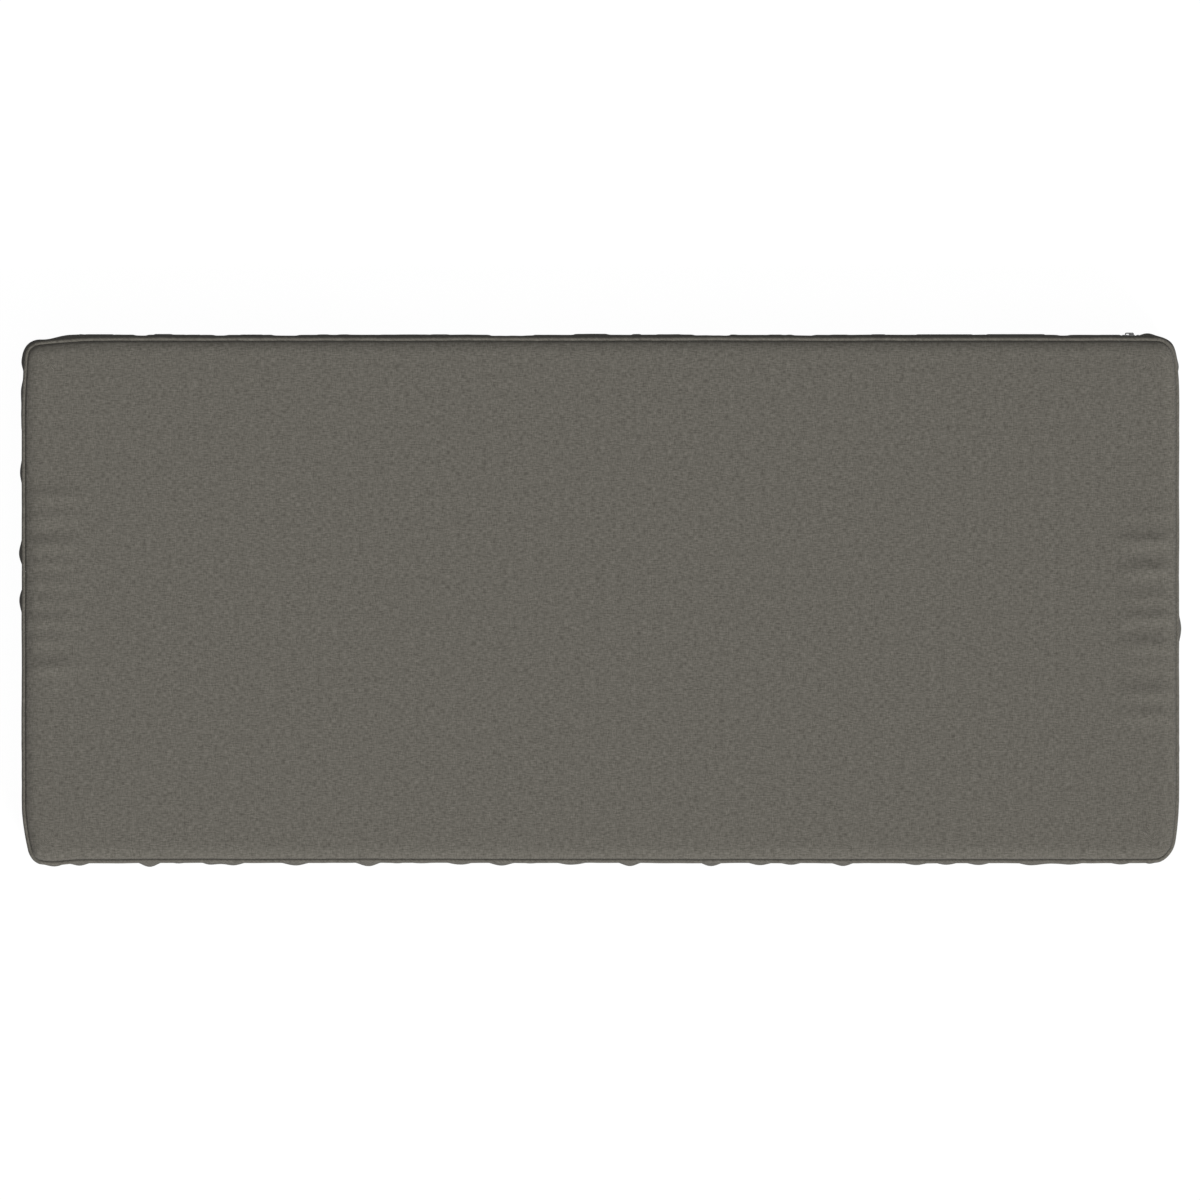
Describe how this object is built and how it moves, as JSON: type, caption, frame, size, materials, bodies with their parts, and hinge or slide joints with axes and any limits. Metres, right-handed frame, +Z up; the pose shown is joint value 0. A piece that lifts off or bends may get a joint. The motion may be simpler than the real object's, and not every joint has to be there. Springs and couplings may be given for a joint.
{
  "type": "bench cushion",
  "caption": "Long boxed bench cushion with piped edges, soft folds in its sides and a zip along the back; lies on a bench or floor as seat padding.",
  "frame": {"origin": "middle of the underside, where the cushion rests", "axes": "+X along the length, +Y towards the back boxing with the zip, +Z up through the thickness"},
  "size_m": [1.1059, 0.5082, 0.0806],
  "materials": {
    "cover_cloth": "matt warm grey woven melange",
    "piping_cloth": "the same cloth cut on the bias over a cord",
    "zip_tape": "black woven tape",
    "zip_teeth": "black nylon coil",
    "zip_slider": "gunmetal plated, semi-gloss"
  },
  "bodies": {
    "root": {"cushion": "cover_cloth", "piping_top": "piping_cloth", "piping_bottom": "piping_cloth", "zip_tape": "zip_tape", "zip_teeth": "zip_teeth", "zip_slider": "zip_slider"}
  },
  "joints": []
}
